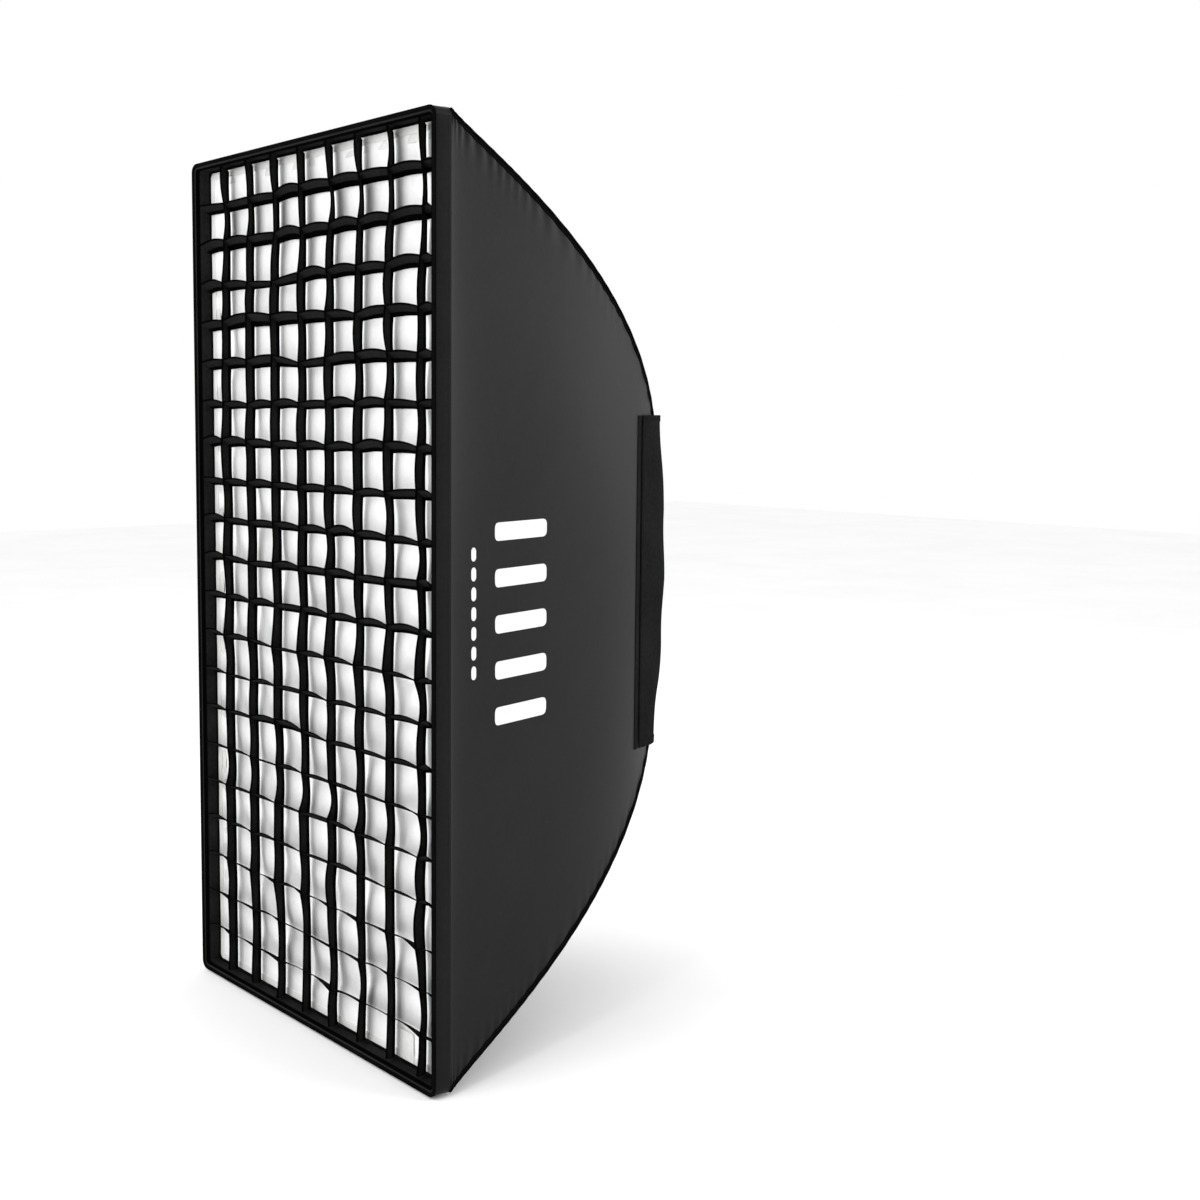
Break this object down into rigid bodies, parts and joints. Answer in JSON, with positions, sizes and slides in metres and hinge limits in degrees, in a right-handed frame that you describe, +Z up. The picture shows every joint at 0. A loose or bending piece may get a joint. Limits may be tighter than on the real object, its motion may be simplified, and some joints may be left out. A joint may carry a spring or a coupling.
{
  "type": "strip softbox",
  "caption": "Tall rectangular rod-type softbox with a recessed egg-crate grid, front and inner diffusers, rear flaps and a rotating three-lug bayonet speed ring.",
  "frame": {"origin": "centre of the bayonet's rear end face, on the lamp bore's axis", "axes": "+Y along the lamp axis towards the lamp, -Y towards the lit front, +Z up along the long side, +X to the right seen from the front"},
  "size_m": [0.604, 0.579, 1.2004],
  "materials": {
    "shell_fabric": "black coated nylon, silver inside",
    "grid_fabric": "matt black webbing",
    "black_tape": "woven hook-and-loop and binding tape",
    "white_cloth": "translucent white diffusion cloth",
    "white_tape": "white woven tape",
    "elastic": "black braided elastic",
    "spring_steel": "ground spring steel rod",
    "cast_metal": "bead-blasted cast aluminium",
    "plated_steel": "zinc-plated steel",
    "brass": "turned brass",
    "black_plastic": "moulded black plastic"
  },
  "bodies": {
    "bayonet": {"bayonet_insert": "cast_metal"},
    "softbox": {"rod_ring": "cast_metal", "retainer_clips": "plated_steel", "retainer_screws": "plated_steel", "rod_caps": "black_plastic", "rod_top_right": "spring_steel", "piping_top_right": "black_tape", "rod_top_left": "spring_steel", "piping_top_left": "black_tape", "rod_bottom_right": "spring_steel", "piping_bottom_right": "black_tape", "rod_bottom_left": "spring_steel", "piping_bottom_left": "black_tape", "panel_right": "shell_fabric", "panel_left": "shell_fabric", "panel_top": "shell_fabric", "panel_bottom": "shell_fabric", "front_rim": "shell_fabric", "edge_tape": "black_tape", "rim_hook_tape": "black_tape", "ledge": "shell_fabric", "ledge_hook_tape": "black_tape", "corner_patches": "black_tape", "inner_baffle": "white_cloth", "baffle_hem_band": "white_tape", "baffle_straps": "elastic", "baffle_anchors": "black_tape", "seam_tape_right": "black_tape", "seam_tape_left": "black_tape", "gusset_hook_tapes": "black_tape"},
    "lock_screw": {"lock_pad": "brass", "lock_stem": "plated_steel", "lock_knob": "black_plastic"},
    "flap_right": {"flap_right": "shell_fabric", "flap_tape_right": "black_tape"},
    "flap_left": {"flap_left": "shell_fabric", "flap_tape_left": "black_tape"},
    "front_diffuser": {"diffuser_cloth": "white_cloth", "diffuser_hem_band": "white_tape", "diffuser_loop_tape": "white_tape", "diffuser_pull_tab": "white_tape"},
    "grid": {"grid_border": "grid_fabric", "grid_loop_tape": "black_tape", "grid_uprights": "grid_fabric", "grid_crossbars": "grid_fabric"}
  },
  "joints": [
    {"name": "ring_rotation", "type": "hinge", "parent": "bayonet", "child": "softbox", "pos_m": [0, 0, 0], "axis": [0, 1, 0], "continuous": true},
    {"name": "lock_turn", "type": "hinge", "parent": "softbox", "child": "lock_screw", "pos_m": [0, -0.0105, 0.098], "axis": [0, 0, 1], "range_deg": [0, 540]},
    {"name": "flap_right_hinge", "type": "hinge", "parent": "softbox", "child": "flap_right", "pos_m": [0.17163, -0.12089, 0], "axis": [0, 0, -1], "range_deg": [0, 110]},
    {"name": "flap_left_hinge", "type": "hinge", "parent": "softbox", "child": "flap_left", "pos_m": [-0.17163, -0.12089, 0], "axis": [0, 0, 1], "range_deg": [0, 110]},
    {"name": "diffuser_pull", "type": "slide", "parent": "softbox", "child": "front_diffuser", "axis": [0, -1, 0], "range_m": [0, 0.1]},
    {"name": "grid_pull", "type": "slide", "parent": "front_diffuser", "child": "grid", "axis": [0, -1, 0], "range_m": [0, 0.08]}
  ]
}
